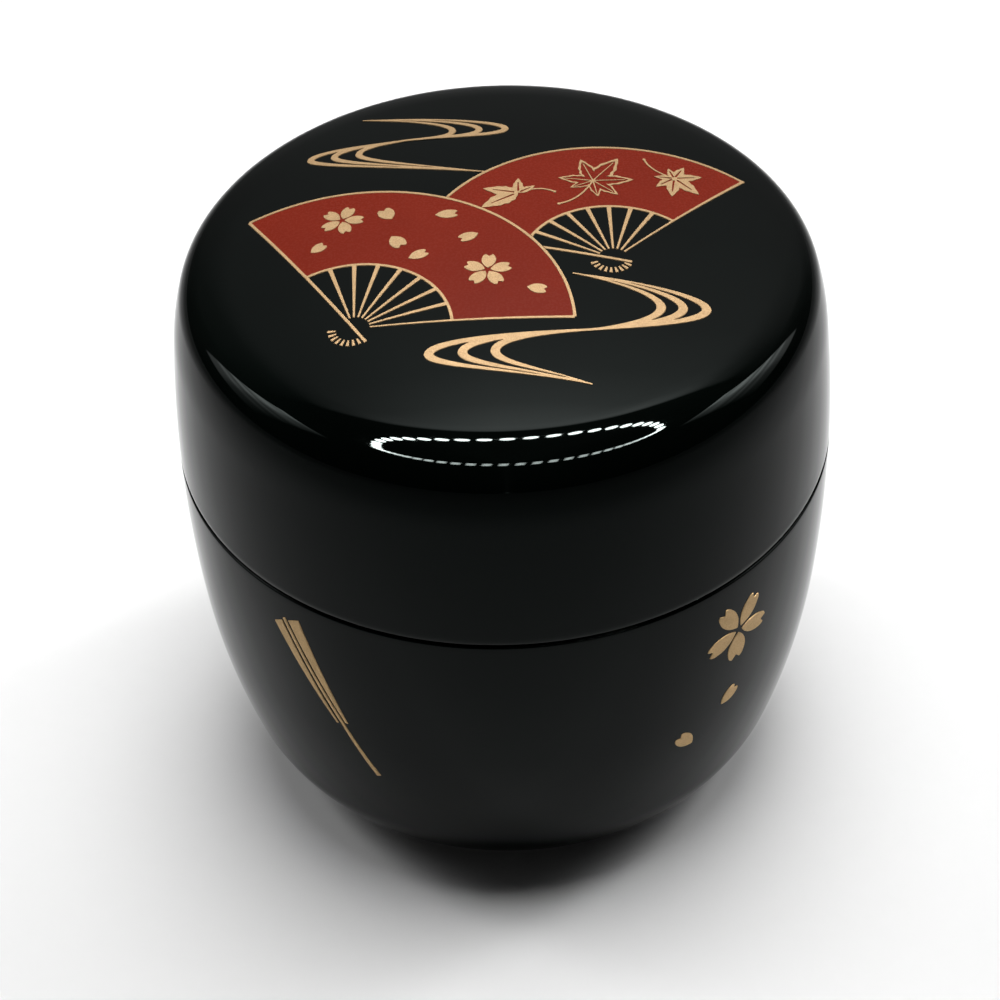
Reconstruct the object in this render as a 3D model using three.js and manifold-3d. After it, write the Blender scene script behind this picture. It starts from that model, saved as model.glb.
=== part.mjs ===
// Tea caddy of the natsume kind: a lacquered cup with a deep domed lid that slides down over
// the cup's raised inner rim. Raised gold and red lacquer pictures lie on the lid and the cup.
// Millimetres, +Z up. The origin is the middle of the foot, at the surface it stands on.

import * as THREE from 'three';
import Module from 'manifold-3d';
import { mergeVertices } from 'three/addons/utils/BufferGeometryUtils.js';

const wasm = await Module();
wasm.setup();

// ---- driving dimensions ----

// Outer profile from the middle of the lid down to the foot, as a chain of tangent arcs:
// radius of the arc, how far it turns in degrees, and the facets that it gets.
const OUTLINE = [
  { radius: 151, turn: 10, facets: 5 }, // gently domed top
  { radius: 16.2, turn: 12, facets: 2 }, // the top eases into the shoulder
  { radius: 3.7, turn: 52, facets: 4 }, // shoulder
  { radius: 23, turn: 11, facets: 1 }, // the shoulder eases into the wall
  { radius: 147.6, turn: 12, facets: 3 }, // nearly upright wall, past the seam
  { radius: 76.7, turn: 11, facets: 3 }, // the cup draws in
  { radius: 13.4, turn: 14, facets: 2 }, // heel
  { radius: 10.5, turn: 46, facets: 4 }, // underside, in to the foot
];
const FACETS_ROUND = 40; // facets of every round wall

const LID_HEIGHT = 23.7; // from the seam to the top of the dome
const SEAM_GAP = 0.3; // the dark line between lid and cup
const LID_EDGE = 0.4; // broken outer edges on each side of the seam
const CUP_EDGE = 0.5;
const RIM_EDGE = 0.25; // broken edge at the top of the inner rim

const LID_WALL = 1.8;
const LID_BORE = 31.1; // inside radius of the lid's skirt
const BORE_HEIGHT = 9; // straight part of the skirt's inside, above the seam

const RIM_OUTER = 30.9; // raised inner rim that the lid slides over
const RIM_INNER = 29.7;
const RIM_HEIGHT = 7; // above the seam
const CUP_WALL = 3.3;
const FLOOR_TILT = 160; // where the inside curve meets the flat floor, in degrees of turn

const FOOT_HEIGHT = 0.9; // standing ring under the cup
const FOOT_WIDTH = 2.6;
const FOOT_BEVEL = 0.2;
const RECESS_DEPTH = 0.8; // hollow inside the ring

const LAYER = 0.15; // thickness of a raised picture
const LAYER_GAP = 0.05; // clearance under it
const TOP_EDGE_TILT = 22; // the lid's pictures lie inside this tilt of its surface, in degrees
const BAND = [89, 108]; // and the cup's between these two
const CUT_DEPTH = 10; // depth of the prisms that cut the pictures out of a layer
const CUT_START = 26; // the cup's pictures are cut outwards from this far off the axis
const CUT_ABOVE = 1; // and the lid's from this far above the dome

const LINE = 0.37; // width of the gold lines
const RIB_IN = 0.26; // width of a fan rib at its inner and outer end
const RIB_OUT = 0.58;
const SIDE_GAP = 0.06; // clearance between a red leaf and the gold lines round it

// Folding fans on the lid: each opens through 120 degrees from start, measured from +X. The
// ribs and guards point to the pivot; the two arcs have their centre a little behind it.
const FRONT_FAN = {
  pivot: [-14.0, -12.0], start: 0, behind: 0.6, inner: 9.7, outer: 21.4, reach: 2.3,
  tail: { centre: [-14.3, -12.1], inner: 1.42, outer: 2.25, start: 172, turn: 130, ticks: 8 },
};
const REAR_FAN = {
  pivot: [11.2, -3.55], start: 46, behind: 1.0, inner: 9.3, outer: 19.9, reach: 1.8,
  tail: { centre: [10.93, -3.45], inner: 1.42, outer: 2.2, start: 197, turn: 141, ticks: 9 },
};
const FAN_TURN = 120;
const FAN_PARTS = 8; // spaces between the two guards, with a rib between each two
const PIVOT_CLEAR = 1.5; // the ribs stop on a circle of this radius round the pivot
const TICK = 0.3; // width of one of the short rib ends behind the pivot
const TAIL_LINE = 0.12; // width of the arc that joins them

// Streams of three lines each: from start round three nested bends on the right, through a
// crossing, round three nested bends on the left, to the end.
const LOWER_STREAM = {
  start: [7.1, -5.8], crossing: [8.4, -13.75], end: [8.4, -20.8],
  right: [15.4, 17.5, 19.75], rightY: -10.4, left: [-6.9, -3.7, -0.6], leftY: -16.35,
  swell: 1.05,
};
const UPPER_STREAM = {
  start: [-13.4, 23.0], crossing: [-9.1, 17.95], end: [-1.2, 11.3],
  right: [-4.2, -1.5, 1.15], rightY: 19.3, left: [-18.6, -16.2, -13.7], leftY: 16.0,
  swell: 0.8,
};
const STREAM_THIN = 0.3; // width where the lines run together
const STREAM_FADE = 1.5; // how fast they thin out between their bends
const STREAM_STEPS = 7; // facets along each quarter of a line

// Five-petalled blossoms: centre, length of a petal and the direction of the first one.
const LEFT_BLOSSOM = { at: [-15.27, 4.45], length: 2.2, first: -6 };
const RIGHT_BLOSSOM = { at: [-1.08, -5.06], length: 2.35, first: 12 };
const CUP_BLOSSOM = { azimuth: 42.9, height: -7.4, length: 4.1, first: 53 };
const PETAL_WIDTH = 0.6; // of a petal's length
const EYE = 0.3; // radius of the disc that joins a blossom's petals or a leaf's lobes

// Loose petals on the front fan: middle, direction from point to notch, length and width.
const LOOSE_PETALS = [
  { at: [-17.6, 0.35], angle: 38, length: 1.8, width: 1.25 },
  { at: [-10.8, 4.7], angle: 117, length: 2.0, width: 1.65 },
  { at: [-9.85, 0.15], angle: -58, length: 2.1, width: 1.6 },
  { at: [-7.8, -2.2], angle: 24, length: 2.1, width: 1.3 },
  { at: [-4.95, 4.0], angle: 2, length: 2.3, width: 1.35 },
  { at: [-2.8, 0.2], angle: 204, length: 2.1, width: 1.3 },
  { at: [3.6, -7.95], angle: -13, length: 2.0, width: 1.35 },
];

// Maple leaves on the rear fan: lobes as [direction, length], then the stem's end.
const LEFT_MAPLE = {
  at: [2.2, 7.1], stem: [5.8, 7.2],
  lobes: [[165.5, 3.6], [89, 2.5], [34.5, 2.05], [212, 4.4]],
};
const MIDDLE_MAPLE = {
  at: [9.68, 9.15], stem: [6.17, 5.12],
  lobes: [[57, 4.95], [106, 4.0], [5, 4.1], [-45, 3.4], [-82, 2.8], [172, 3.5], [-151, 2.65]],
};
const RIGHT_MAPLE = {
  at: [17.8, 10.06], stem: [14.97, 13.31],
  lobes: [[-48, 3.5], [10.6, 2.9], [-97, 3.24], [62, 2.4], [-139, 2.5], [106, 1.85], [175, 2.0]],
};
const LOBE_SPREAD = 50; // degrees between a lobe's middle line and the points that pull its sides out
const LOBE_MIDDLE = 0.52; // how far along the lobe those points are
const STEM_WIDTH = 0.3;
const VEIN_WIDTH = 0.2;
const HOLLOW_START = 0.3; // where the open part of an outlined lobe starts and ends, along the lobe
const HOLLOW_END = 0.85;

// Folded fan on the cup, in a flat frame whose X is to the right and Y is up from the seam.
const FOLDED_FAN = {
  azimuth: -36,
  left: [[-4.9, -4.4], [-3.85, -3.7], [1.75, -15.5], [1.5, -15.6]],
  handle: [[-3.6, -3.6], [-3.25, -3.35], [2.25, -15.2], [5.2, -22.3], [5.05, -22.4], [1.95, -15.2]],
  right: [[-2.95, -3.4], [-1.55, -2.65], [2.9, -15.1], [2.55, -15.1]],
};
const CUP_PETAL = { azimuth: 42.2, height: -16.8, angle: 39, length: 2.5, width: 1.0 };
const HEART_PETAL = { azimuth: 33.0, height: -20.7, angle: 135, length: 2.1, width: 2.2 };

// ---- small helpers ----

const rad = THREE.MathUtils.degToRad;

function polar([x, y], radius, degrees) {
  return new THREE.Vector2(x + radius * Math.cos(rad(degrees)), y + radius * Math.sin(rad(degrees)));
}

// A closed three.js geometry as a solid.
function solidOf(geometry) {
  geometry.deleteAttribute('normal');
  geometry.deleteAttribute('uv');
  const merged = mergeVertices(geometry, 1e-4);
  const index = merged.index.array;
  const triangles = [];
  for (let i = 0; i < index.length; i += 3) {
    const [a, b, c] = [index[i], index[i + 1], index[i + 2]];
    if (a !== b && b !== c && c !== a) triangles.push(a, b, c);
  }
  const vertProperties = new Float32Array(merged.attributes.position.array);
  const mesh = new wasm.Mesh({ numProp: 3, vertProperties, triVerts: new Uint32Array(triangles) });
  return new wasm.Manifold(mesh);
}

function geometryOf(solid) {
  const mesh = solid.getMesh();
  const geometry = new THREE.BufferGeometry();
  geometry.setAttribute('position', new THREE.BufferAttribute(new Float32Array(mesh.vertProperties), 3));
  geometry.setIndex(new THREE.BufferAttribute(new Uint32Array(mesh.triVerts), 1));
  geometry.computeVertexNormals();
  return geometry;
}

function joined(solids) {
  return solids.reduce((whole, solid) => whole.add(solid));
}

// ---- the round shells ----

// Points of the outer profile moved inwards by depth, from the axis down to the foot.
function outline(depth) {
  const points = [];
  let r = 0;
  let z = 0;
  let tilt = 0;
  for (const { radius, turn, facets } of OUTLINE) {
    const middleR = r - radius * Math.sin(rad(tilt));
    const middleZ = z - radius * Math.cos(rad(tilt));
    const place = (angle, size) => ({
      r: middleR + size * Math.sin(rad(angle)),
      z: middleZ + size * Math.cos(rad(angle)),
      tilt: angle,
    });
    if (points.length === 0) points.push(place(0, radius - depth));
    for (let i = 1; i <= facets; i++) points.push(place(tilt + (turn * i) / facets, radius - depth));
    tilt += turn;
    ({ r, z } = place(tilt, radius));
  }
  return points.map((p) => ({ r: p.r, z: p.z + DOME_TOP, tilt: p.tilt }));
}

// How far the whole chain of arcs falls.
function outlineDrop() {
  let tilt = 0;
  let drop = 0;
  for (const { radius, turn } of OUTLINE) {
    drop += radius * (Math.cos(rad(tilt)) - Math.cos(rad(tilt + turn)));
    tilt += turn;
  }
  return drop;
}

const DOME_TOP = outlineDrop() + FOOT_HEIGHT;
const SEAM = DOME_TOP - LID_HEIGHT;

// Radius of a profile at a height.
function radiusAt(points, height) {
  const below = points.findIndex((p) => p.z < height);
  const a = points[below - 1];
  const b = points[below];
  return a.r + ((b.r - a.r) * (a.z - height)) / (a.z - b.z);
}

function lathe(profile) {
  const points = profile.map(([r, z]) => new THREE.Vector2(r, z));
  return new THREE.LatheGeometry(points, FACETS_ROUND).rotateX(Math.PI / 2);
}

function lidShell() {
  const outer = outline(0);
  const bottom = SEAM + SEAM_GAP / 2;
  const edge = radiusAt(outer, bottom + LID_EDGE);
  const inner = outline(LID_WALL).filter((p) => p.z > SEAM + BORE_HEIGHT);
  const profile = [
    ...inner.map((p) => [p.r, p.z]),
    [LID_BORE, SEAM + BORE_HEIGHT],
    [LID_BORE, bottom],
    [edge - LID_EDGE, bottom],
    [edge, bottom + LID_EDGE],
    ...outer.filter((p) => p.z > bottom + LID_EDGE).reverse().map((p) => [p.r, p.z]),
  ];
  return solidOf(lathe(profile));
}

function cupShell() {
  const outer = outline(0);
  const ledge = SEAM - SEAM_GAP / 2;
  const edge = radiusAt(outer, ledge - CUP_EDGE);
  const foot = outer[outer.length - 1].r;
  const ring = foot - FOOT_WIDTH;
  const inner = outline(CUP_WALL).filter((p) => p.tilt <= FLOOR_TILT && p.r < RIM_INNER && p.z < ledge);
  const profile = [
    [0, RECESS_DEPTH],
    [ring - RECESS_DEPTH, RECESS_DEPTH],
    [ring, 0],
    [foot - FOOT_BEVEL, 0],
    [foot, FOOT_BEVEL],
    ...outer.filter((p) => p.z < ledge - CUP_EDGE).reverse().map((p) => [p.r, p.z]),
    [edge, ledge - CUP_EDGE],
    [edge - CUP_EDGE, ledge],
    [RIM_OUTER, ledge],
    [RIM_OUTER, SEAM + RIM_HEIGHT - RIM_EDGE],
    [RIM_OUTER - RIM_EDGE, SEAM + RIM_HEIGHT],
    [RIM_INNER, SEAM + RIM_HEIGHT],
    [RIM_INNER, inner[0].z],
    ...inner.map((p) => [p.r, p.z]),
    [0, inner[inner.length - 1].z],
  ];
  return solidOf(lathe(profile));
}

// ---- thin layers that follow the shells ----

// Space for a raised picture on the lid's top: level 0 is on the lacquer, 1 on top of that.
function lidSkin(level) {
  const lift = LAYER_GAP + level * (LAYER + LAYER_GAP);
  const onTop = (p) => p.tilt <= TOP_EDGE_TILT;
  const low = outline(-lift).filter(onTop);
  const high = outline(-lift - LAYER).filter(onTop);
  const profile = [...low, ...high.reverse()].map((p) => [p.r, p.z]);
  return solidOf(lathe(profile));
}

// The same round the cup, as a closed band under the seam.
function cupSkin() {
  const onWall = (p) => p.tilt >= BAND[0] && p.tilt <= BAND[1];
  const low = outline(-LAYER_GAP).filter(onWall);
  const high = outline(-LAYER_GAP - LAYER).filter(onWall);
  const profile = [...low, ...high.reverse(), low[0]].map((p) => [p.r, p.z]);
  return solidOf(lathe(profile));
}

const LID_SKINS = [lidSkin(0), lidSkin(1)];
const CUP_SKIN = cupSkin();

const CUT = { depth: CUT_DEPTH, bevelEnabled: false, curveSegments: 3 };

// Upright prism of a flat outline, tall enough to cut through the lid's top layers.
function prism(shape) {
  return solidOf(new THREE.ExtrudeGeometry(shape, CUT));
}

// A picture on the lid: flat outlines in plan, pressed onto the dome.
function onLid(prisms, level) {
  const cutter = joined(prisms).translate([0, 0, DOME_TOP + CUT_ABOVE - CUT_DEPTH]);
  return cutter.intersect(LID_SKINS[level]);
}

// A picture on the cup: flat outlines seen from azimuth degrees to the right of the front,
// with Y measured up from the seam.
function onCup(shapes, azimuth) {
  const a = rad(azimuth);
  const right = new THREE.Vector3(Math.cos(a), Math.sin(a), 0);
  const outward = new THREE.Vector3(Math.sin(a), -Math.cos(a), 0);
  const up = new THREE.Vector3(0, 0, 1);
  const depthStart = outward.clone().multiplyScalar(CUT_START);
  const matrix = new THREE.Matrix4().makeBasis(right, up, outward);
  matrix.setPosition(depthStart.x, depthStart.y, SEAM);
  const solids = shapes.map((shape) => new THREE.ExtrudeGeometry(shape, CUT).applyMatrix4(matrix));
  return joined(solids.map(solidOf)).intersect(CUP_SKIN);
}

// ---- outlines of the pictures ----

// Petal with its point at the origin and a notch at the far end, along degrees.
function petal([x, y], length, width, degrees) {
  const turn = rad(degrees);
  const at = (u, v) => {
    const along = u * length;
    const across = (v * width) / 2;
    return [x + along * Math.cos(turn) - across * Math.sin(turn),
      y + along * Math.sin(turn) + across * Math.cos(turn)];
  };
  const shape = new THREE.Shape();
  shape.moveTo(...at(0, 0));
  shape.bezierCurveTo(...at(0.2, 0.75), ...at(0.55, 1.2), ...at(0.8, 0.9));
  shape.lineTo(...at(1, 0.5));
  shape.lineTo(...at(0.84, 0));
  shape.lineTo(...at(1, -0.5));
  shape.lineTo(...at(0.8, -0.9));
  shape.bezierCurveTo(...at(0.55, -1.2), ...at(0.2, -0.75), ...at(0, 0));
  return shape;
}

function blossom([x, y], length, first) {
  const petals = [0, 1, 2, 3, 4].map((i) => petal([x, y], length, length * PETAL_WIDTH, first + 72 * i));
  return [...petals, eye([x, y])];
}

// Small disc that joins petals or lobes where they meet.
function eye([x, y]) {
  return new THREE.Shape(new THREE.Path().absarc(x, y, EYE, 0, 2 * Math.PI).getPoints(8));
}

// Petal whose middle is given, with its point towards the start of its direction.
function loosePetal({ at, angle, length, width }) {
  const half = polar(at, -length / 2, angle);
  return petal([half.x, half.y], length, width, angle);
}

// Straight bar between two points, with its own width at each end.
function bar(a, b, widthA, widthB) {
  const side = new THREE.Vector2(a.y - b.y, b.x - a.x).normalize();
  const corner = (p, width) => p.clone().addScaledVector(side, width / 2);
  return new THREE.Shape([
    corner(a, widthA), corner(b, widthB), corner(b, -widthB), corner(a, -widthA),
  ]);
}

// Part of a ring between two radii and two angles.
function sector(centre, inner, outer, start, end) {
  const shape = new THREE.Shape();
  shape.absarc(centre[0], centre[1], outer, rad(start), rad(end), false);
  shape.absarc(centre[0], centre[1], inner, rad(end), rad(start), true);
  return new THREE.Shape(shape.getPoints(10));
}

// Lobe of a leaf, pointed at both ends.
function lobe(root, degrees, length) {
  const tip = polar(root, length, degrees);
  const left = polar(root, length * LOBE_MIDDLE, degrees + LOBE_SPREAD);
  const right = polar(root, length * LOBE_MIDDLE, degrees - LOBE_SPREAD);
  const shape = new THREE.Shape();
  shape.moveTo(...root);
  shape.quadraticCurveTo(left.x, left.y, tip.x, tip.y);
  shape.quadraticCurveTo(right.x, right.y, ...root);
  return shape;
}

// The four curves of one line of a stream. Each is a cubic Bezier curve whose two inner points
// are placed as shares of the bend's width and of the fall from the start to the right bend.
function streamCurves({ start, crossing, end, rightY, leftY }, rightX, leftX) {
  const p = (x, y) => new THREE.Vector2(x, y);
  const span = rightX - crossing[0];
  const back = crossing[0] - leftX;
  const drop = start[1] - rightY;
  return [
    [p(...start), p(start[0] + (rightX - start[0]) * 0.55, start[1] - drop * 0.28),
      p(rightX, rightY + drop * 0.35), p(rightX, rightY)],
    [p(rightX, rightY), p(rightX, rightY - drop * 0.4),
      p(crossing[0] + span * 0.35, crossing[1] + drop * 0.08), p(...crossing)],
    [p(...crossing), p(crossing[0] - back * 0.35, crossing[1] - drop * 0.08),
      p(leftX, leftY + drop * 0.4), p(leftX, leftY)],
    [p(leftX, leftY), p(leftX, leftY - drop * 0.35),
      p(end[0] - (end[0] - leftX) * 0.45, end[1] + drop * 0.4), p(...end)],
  ].map((points) => new THREE.CubicBezierCurve(...points));
}

// One line of a stream: a ribbon that swells in its two bends.
function streamLine(stream, rightX, leftX) {
  const sides = [[], []];
  streamCurves(stream, rightX, leftX).forEach((piece, quarter) => {
    for (let i = quarter === 0 ? 0 : 1; i <= STREAM_STEPS; i++) {
      const t = i / STREAM_STEPS;
      const at = piece.getPoint(t);
      const along = piece.getTangent(t);
      const share = quarter % 2 === 0 ? t : 1 - t;
      const half = (STREAM_THIN + (stream.swell - STREAM_THIN) * share ** STREAM_FADE) / 2;
      sides[0].push(new THREE.Vector2(at.x - along.y * half, at.y + along.x * half));
      sides[1].push(new THREE.Vector2(at.x + along.y * half, at.y - along.x * half));
    }
  });
  return new THREE.Shape([...sides[0], ...sides[1].reverse()]);
}

// ---- the pictures ----

function arcCentre({ pivot, start, behind }) {
  const { x, y } = polar(pivot, -behind, start + FAN_TURN / 2);
  return [x, y];
}

// Angles, seen from the arcs' centre, between which a circle of some radius lies in the fan,
// when the fan's two straight edges are moved inwards by inset.
function spanAt({ behind, start }, radius, inset) {
  const sine = (behind * Math.sin(rad(FAN_TURN / 2)) + inset) / radius;
  const lean = THREE.MathUtils.radToDeg(Math.asin(sine));
  return [start + lean, start + FAN_TURN - lean];
}

function longGuard({ pivot, start, outer, reach }) {
  const angle = start + FAN_TURN;
  return prism(bar(polar(pivot, -reach, angle), polar(pivot, outer, angle), LINE, LINE));
}

// Gold lines of a fan but for the long guard: both arcs, the ribs and the short guard.
function fanFrame(fan) {
  const { pivot, start, inner, outer, behind } = fan;
  const half = LINE / 2;
  const centre = arcCentre(fan);
  const shapes = [
    sector(centre, outer - half, outer + half, ...spanAt(fan, outer, 0)),
    sector(centre, inner - half, inner + half, ...spanAt(fan, inner, 0)),
    bar(polar(pivot, PIVOT_CLEAR, start), polar(pivot, outer, start), LINE, LINE),
  ];
  for (let i = 1; i < FAN_PARTS; i++) {
    const turn = (FAN_TURN * i) / FAN_PARTS;
    const angle = start + turn;
    const reach = inner - behind * Math.cos(rad(turn - FAN_TURN / 2));
    shapes.push(bar(polar(pivot, PIVOT_CLEAR, angle), polar(pivot, reach, angle), RIB_IN, RIB_OUT));
  }
  return joined(shapes.map(prism));
}

// Rib ends behind the pivot, clear of the long guard that passes them.
function fanTail({ pivot, start, reach, outer, tail }) {
  const { centre, inner } = tail;
  const shapes = [sector(centre, inner, inner + TAIL_LINE, tail.start, tail.start + tail.turn)];
  for (let i = 0; i < tail.ticks; i++) {
    const angle = tail.start + ((i + 0.5) * tail.turn) / tail.ticks;
    const near = polar(centre, inner + TAIL_LINE / 2, angle);
    shapes.push(bar(near, polar(centre, tail.outer, angle), TICK, TICK));
  }
  const angle = start + FAN_TURN;
  const clear = LINE + 2 * SIDE_GAP;
  const guard = bar(polar(pivot, -reach - SIDE_GAP, angle), polar(pivot, outer, angle), clear, clear);
  return joined(shapes.map(prism)).subtract(prism(guard));
}

// Red paper of a fan, inside the gold lines round it.
function fanLeaf(fan) {
  const inset = LINE / 2 + SIDE_GAP;
  const centre = arcCentre(fan);
  const low = spanAt(fan, fan.inner + inset, inset);
  const high = spanAt(fan, fan.outer - inset, inset);
  const shape = new THREE.Shape();
  shape.absarc(...centre, fan.outer - inset, rad(high[0]), rad(high[1]), false);
  shape.absarc(...centre, fan.inner + inset, rad(low[1]), rad(low[0]), true);
  return prism(new THREE.Shape(shape.getPoints(10)));
}

// The whole front fan's outline in plan, grown a little: what hides the rear fan.
function fanCover(fan) {
  const grown = LINE / 2 + SIDE_GAP;
  const centre = arcCentre(fan);
  const [from, to] = spanAt(fan, fan.outer, -grown);
  const shape = new THREE.Shape();
  shape.moveTo(...fan.pivot);
  shape.absarc(...centre, fan.outer + grown, rad(from), rad(to), false);
  return prism(new THREE.Shape(shape.getPoints(16)));
}

function maple({ at, stem, lobes }, outlined) {
  const foot = new THREE.Vector2(...at);
  const leaves = lobes.map(([angle, length]) => prism(lobe(at, angle, length)));
  const blade = joined([prism(eye(at)), ...leaves]);
  const stalk = prism(bar(foot, new THREE.Vector2(...stem), STEM_WIDTH, STEM_WIDTH));
  if (!outlined) return [blade, stalk];
  const hollows = lobes.map(([angle, length]) => {
    const { x, y } = polar(at, length * HOLLOW_START, angle);
    return prism(lobe([x, y], angle, length * (HOLLOW_END - HOLLOW_START)));
  });
  const veins = lobes.map(([angle, length]) => prism(
    bar(foot, polar(at, length * HOLLOW_END, angle), VEIN_WIDTH, VEIN_WIDTH)));
  return [blade.subtract(joined(hollows)), ...veins, stalk];
}

function stream(data) {
  return data.right.map((rightX, i) => prism(streamLine(data, rightX, data.left[data.left.length - 1 - i])));
}

function fromCorners(corners) {
  return new THREE.Shape(corners.map(([x, y]) => new THREE.Vector2(x, y)));
}

// ---- finishes ----

const BLACK = new THREE.MeshStandardMaterial({ color: 0x0a0c0a, roughness: 0.08, metalness: 0 });
const GOLD = new THREE.MeshStandardMaterial({ color: 0xd9ac68, roughness: 0.42, metalness: 0.8 });
const RED = new THREE.MeshStandardMaterial({ color: 0x8a2a20, roughness: 0.2, metalness: 0 });

const caddy = new THREE.Group();

function addPiece(name, solid, material) {
  const mesh = new THREE.Mesh(geometryOf(solid), material);
  mesh.name = name;
  caddy.add(mesh);
}

// ---- the cup and what lies on it ----

addPiece('cup', cupShell(), BLACK);
addPiece('folded_fan_left', onCup([fromCorners(FOLDED_FAN.left)], FOLDED_FAN.azimuth), GOLD);
addPiece('folded_fan_handle', onCup([fromCorners(FOLDED_FAN.handle)], FOLDED_FAN.azimuth), GOLD);
addPiece('folded_fan_right', onCup([fromCorners(FOLDED_FAN.right)], FOLDED_FAN.azimuth), GOLD);
addPiece('cup_blossom', onCup(
  blossom([0, CUP_BLOSSOM.height], CUP_BLOSSOM.length, CUP_BLOSSOM.first), CUP_BLOSSOM.azimuth), GOLD);
[['cup_petal', CUP_PETAL], ['cup_heart_petal', HEART_PETAL]].forEach(([name, data]) => {
  const shape = loosePetal({ ...data, at: [0, data.height] });
  addPiece(name, onCup([shape], data.azimuth), GOLD);
});

// ---- the lid and what lies on it ----

addPiece('lid', lidShell(), BLACK);

addPiece('front_fan_leaf', onLid([fanLeaf(FRONT_FAN)], 0), RED);
addPiece('front_fan_frame', onLid([fanFrame(FRONT_FAN), longGuard(FRONT_FAN)], 0), GOLD);
addPiece('front_fan_tail', onLid([fanTail(FRONT_FAN)], 0), GOLD);
addPiece('front_blossom_left', onLid(
  blossom(LEFT_BLOSSOM.at, LEFT_BLOSSOM.length, LEFT_BLOSSOM.first).map(prism), 1), GOLD);
addPiece('front_blossom_right', onLid(
  blossom(RIGHT_BLOSSOM.at, RIGHT_BLOSSOM.length, RIGHT_BLOSSOM.first).map(prism), 1), GOLD);
LOOSE_PETALS.forEach((data, i) => {
  addPiece(`front_petal_${i + 1}`, onLid([prism(loosePetal(data))], 1), GOLD);
});

const cover = fanCover(FRONT_FAN);
addPiece('rear_fan_leaf', onLid([fanLeaf(REAR_FAN).subtract(cover)], 0), RED);
addPiece('rear_fan_frame', onLid([fanFrame(REAR_FAN).subtract(cover)], 0), GOLD);
addPiece('rear_fan_guard', onLid([longGuard(REAR_FAN).subtract(cover)], 0), GOLD);
addPiece('rear_fan_tail', onLid([fanTail(REAR_FAN)], 0), GOLD);
addPiece('maple_left', onLid([joined(maple(LEFT_MAPLE, false)).subtract(cover)], 1), GOLD);
addPiece('maple_middle', onLid(maple(MIDDLE_MAPLE, true), 1), GOLD);
addPiece('maple_right', onLid(maple(RIGHT_MAPLE, false), 1), GOLD);

addPiece('stream_upper', onLid(stream(UPPER_STREAM), 0), GOLD);
addPiece('stream_lower', onLid(stream(LOWER_STREAM), 0), GOLD);

export default caddy;
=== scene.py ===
import math

import bmesh
import bpy
import numpy as np
from mathutils import Matrix, Vector
from mathutils.geometry import delaunay_2d_cdt


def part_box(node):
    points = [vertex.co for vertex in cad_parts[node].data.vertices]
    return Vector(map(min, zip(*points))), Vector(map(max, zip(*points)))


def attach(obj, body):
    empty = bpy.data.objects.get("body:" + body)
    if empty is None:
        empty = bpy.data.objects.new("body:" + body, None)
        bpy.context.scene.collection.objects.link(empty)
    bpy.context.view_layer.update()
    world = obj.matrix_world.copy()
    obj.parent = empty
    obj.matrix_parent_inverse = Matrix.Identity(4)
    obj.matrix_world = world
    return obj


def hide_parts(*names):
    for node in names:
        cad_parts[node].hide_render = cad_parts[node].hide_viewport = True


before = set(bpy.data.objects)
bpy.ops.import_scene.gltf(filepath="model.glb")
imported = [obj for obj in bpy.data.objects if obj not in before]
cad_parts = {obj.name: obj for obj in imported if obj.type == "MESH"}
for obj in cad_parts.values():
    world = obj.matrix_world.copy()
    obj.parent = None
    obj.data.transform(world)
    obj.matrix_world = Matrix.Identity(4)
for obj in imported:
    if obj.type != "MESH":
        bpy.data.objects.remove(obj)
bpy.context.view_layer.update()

# Tea caddy of the natsume kind: black lacquer cup and lid, with thin gold and red lacquer
# pictures. All sizes below are millimetres, in the frame of the CAD model; meshes are metres.
MM = 0.001

# ---- sizes ----

LID_LOW, LID_HIGH = (Vector(corner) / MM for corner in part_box("lid"))
SEAM_GAP = 0.3
DOME_TOP = LID_HIGH.z
SEAM = LID_LOW.z - SEAM_GAP / 2
RIM_TOP = (Vector(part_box("cup")[1]) / MM).z

# Outer profile from the top of the lid to the foot: radius of each arc and its turn in degrees.
OUTLINE = [
    (151, 10), (16.2, 12), (3.7, 52), (23, 11),
    (147.6, 12), (76.7, 11), (13.4, 14), (10.5, 46),
]
STEP = 0.6  # longest step along a profile
TURN_STEP = 2  # largest turn of a step along the outer profile, in degrees
ROUND = 192  # steps round a lathed shell
FILLET_STEPS = 8
ON_AXIS = 1e-6

LID_WALL = 1.8
LID_BORE = 31.1
BORE_HEIGHT = 9
RIM_OUTER = 30.9
RIM_INNER = 29.7
CUP_WALL = 3.3
FLOOR_TILT = 160  # the inside follows the outline down to this tilt, then lies flat
FOOT_WIDTH = 2.6
RECESS_DEPTH = 0.8
RECESS_FILLET = 0.3
LEDGE_FILLET = 0.1
LIP_HEIGHT = 0.45  # the lid draws in a little just above the seam
LIP_DEPTH = 0.1
LID_EDGE = 0.12  # rounding of the outer edges on each side of the seam
CUP_EDGE = 0.2
SMALL_EDGE = 0.2
RIM_REACH = 1  # how far the rim's inside goes down before it meets the curved wall

# Thin layers of the pictures: how far they stand proud, and the slope at their edges.
EMBED = 0.03  # how deep a picture's skirt goes into the lacquer
BEVEL = 0.045
FINE_BEVEL = 0.02
RED_LIFT = 0.03
LINE_LIFT = 0.07
TOP_LIFT = 0.085
LID_SPACING, LEAF_SPACING, CUP_SPACING = 1.0, 0.8, 0.4  # between the points inside a picture
GRID_CLEAR = 0.3  # how clear of an outline those points stay, as a share of their spacing
SHARP_ANGLE = 30
INSIDE_TRIANGLES, OUTLINE_MERGE = 1, 1e-5  # what the triangulation returns, and its tolerance
POINT_MERGE = 1e-8
TINY = 1e-12

# ---- small helpers ----


def polar(centre, radius, degrees):
    turn = math.radians(degrees)
    return centre[0] + radius * math.cos(turn), centre[1] + radius * math.sin(turn)


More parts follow.
